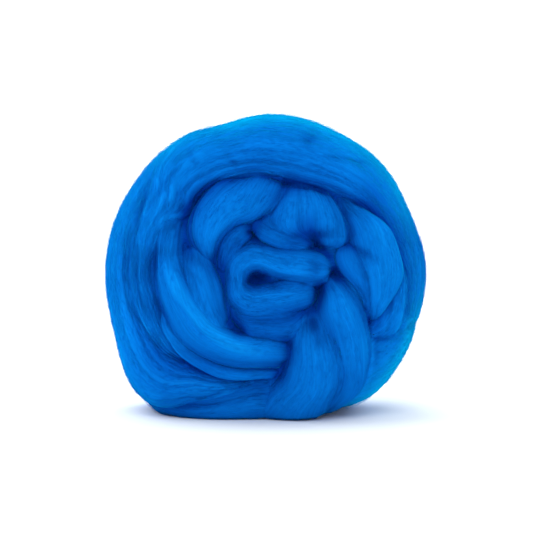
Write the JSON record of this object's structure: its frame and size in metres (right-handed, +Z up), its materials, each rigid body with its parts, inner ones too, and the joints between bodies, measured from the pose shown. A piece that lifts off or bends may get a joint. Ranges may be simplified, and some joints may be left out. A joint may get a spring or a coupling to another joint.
{
  "type": "ball of wool roving",
  "caption": "Wound ball of soft combed wool roving, one thick strand folded and wrapped over itself, resting on a small flat spot.",
  "frame": {"origin": "middle of the flat spot's plane, under the middle of the ball", "axes": "+Z up, -Y the way the wound face looks, +X to the right of someone looking at that face"},
  "size_m": [0.1612, 0.115, 0.1525],
  "materials": {
    "wool": "soft matt combed wool with a slight lustre along its fibres"
  },
  "bodies": {
    "root": {"wound_roving": "wool"}
  },
  "joints": []
}
